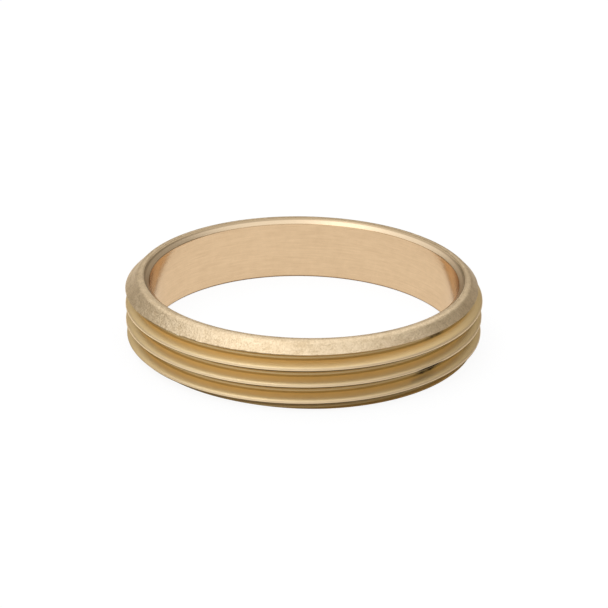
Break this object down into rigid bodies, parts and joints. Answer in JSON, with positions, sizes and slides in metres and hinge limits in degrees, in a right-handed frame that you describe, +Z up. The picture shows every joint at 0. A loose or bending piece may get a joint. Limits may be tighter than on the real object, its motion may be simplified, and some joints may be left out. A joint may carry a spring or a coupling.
{
  "type": "threaded dwv adapter ring",
  "caption": "Short brass ring with a plain bore that is soldered on a copper drain tube, and a coarse outside thread for a slip-joint nut.",
  "frame": {"origin": "centre of the ring on its bottom face, where it rests", "axes": "+Z up along the bore's axis, towards the bevelled end; -Y is the side that faces the camera"},
  "size_m": [0.048, 0.048, 0.0091],
  "materials": {
    "turned_brass": "satin, as turned"
  },
  "bodies": {
    "root": {"threaded_ring": "turned_brass"}
  },
  "joints": []
}
